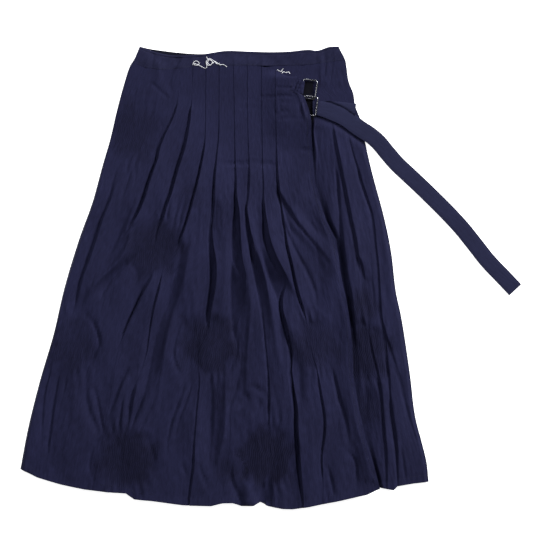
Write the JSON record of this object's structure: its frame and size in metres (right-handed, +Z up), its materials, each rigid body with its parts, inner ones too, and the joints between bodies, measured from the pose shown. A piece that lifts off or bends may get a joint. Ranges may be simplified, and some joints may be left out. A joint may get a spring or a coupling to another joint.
{
  "type": "wrap skirt",
  "caption": "Long wrap skirt laid flat, with a pleated over panel, shirred dots, a belt strap and rectangular belt rings at the waist.",
  "frame": {"origin": "on the resting face, under the middle of the whole outline", "axes": "+Z up from the surface that the skirt lies on, +Y towards the waist, +X towards the belt side"},
  "size_m": [0.851, 0.7854, 0.0185],
  "materials": {
    "navy_cotton": "matt, fine plain weave",
    "navy_inside": "matt, fine plain weave",
    "belt_cloth": "matt, pressed double cloth",
    "ring_steel": "bright plated wire"
  },
  "bodies": {
    "root": {"back_panel": "navy_inside", "back_waistband": "navy_inside", "front_waistband": "navy_cotton", "front_under_panel": "navy_cotton", "front_over_panel": "navy_cotton", "belt_strap": "belt_cloth", "belt_ring_upper": "ring_steel", "belt_ring_lower": "ring_steel", "ring_tab_upper": "navy_cotton", "ring_tab_lower": "navy_cotton"}
  },
  "joints": []
}
